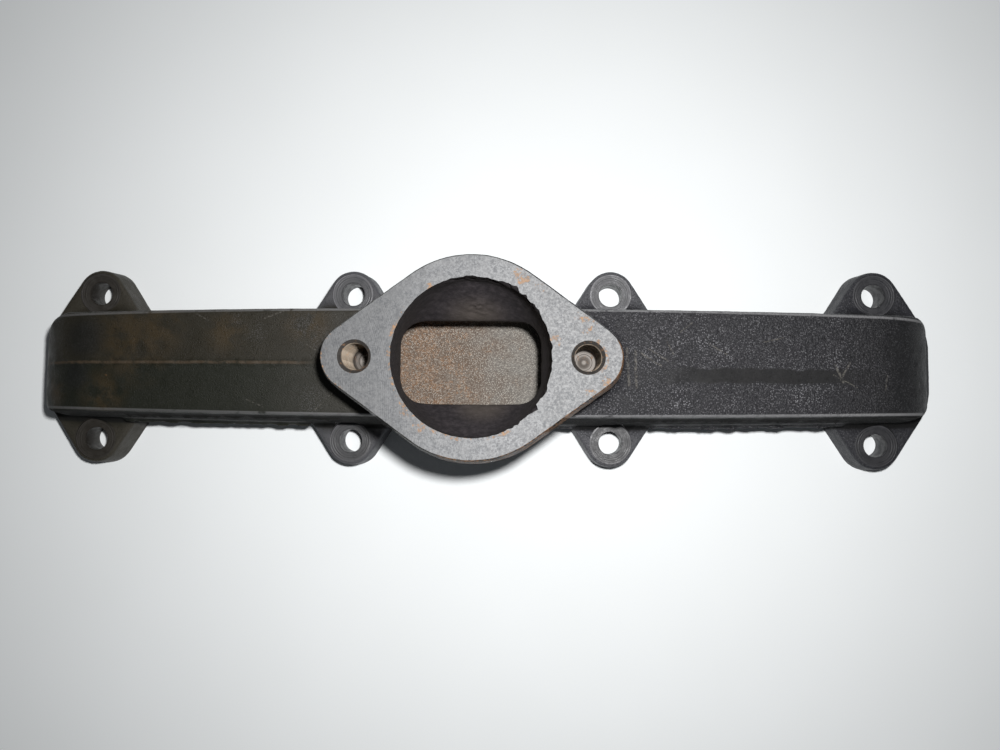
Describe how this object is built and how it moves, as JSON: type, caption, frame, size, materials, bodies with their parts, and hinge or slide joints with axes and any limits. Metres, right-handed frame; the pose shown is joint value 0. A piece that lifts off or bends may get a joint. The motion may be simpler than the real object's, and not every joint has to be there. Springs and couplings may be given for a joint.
{
  "type": "exhaust manifold",
  "caption": "Cast-iron log exhaust manifold: a hollow log with stud-lug port flanges below and a two-stud round outlet flange on top.",
  "frame": {"origin": "middle of the port-face plane, midway between the inner ports", "axes": "+X along the log, +Y across it, +Z out of the outlet"},
  "size_m": [0.402, 0.0886, 0.078],
  "materials": {
    "black_cast_skin": "sand-cast, blackened and slightly oily",
    "milled_iron": "face milled, with light rust at the edges"
  },
  "bodies": {
    "root": {"port_flange_1": "black_cast_skin", "port_flange_2": "black_cast_skin", "port_flange_3": "black_cast_skin", "port_flange_4": "black_cast_skin", "log_centre": "black_cast_skin", "log_arm_left": "black_cast_skin", "log_arm_right": "black_cast_skin", "end_elbow_left": "black_cast_skin", "end_elbow_right": "black_cast_skin", "outlet_neck": "black_cast_skin", "ear_boss_left": "black_cast_skin", "ear_boss_right": "black_cast_skin", "side_flash_left": "black_cast_skin", "side_flash_centre": "black_cast_skin", "side_flash_right": "black_cast_skin", "outlet_flange": "milled_iron"}
  },
  "joints": []
}
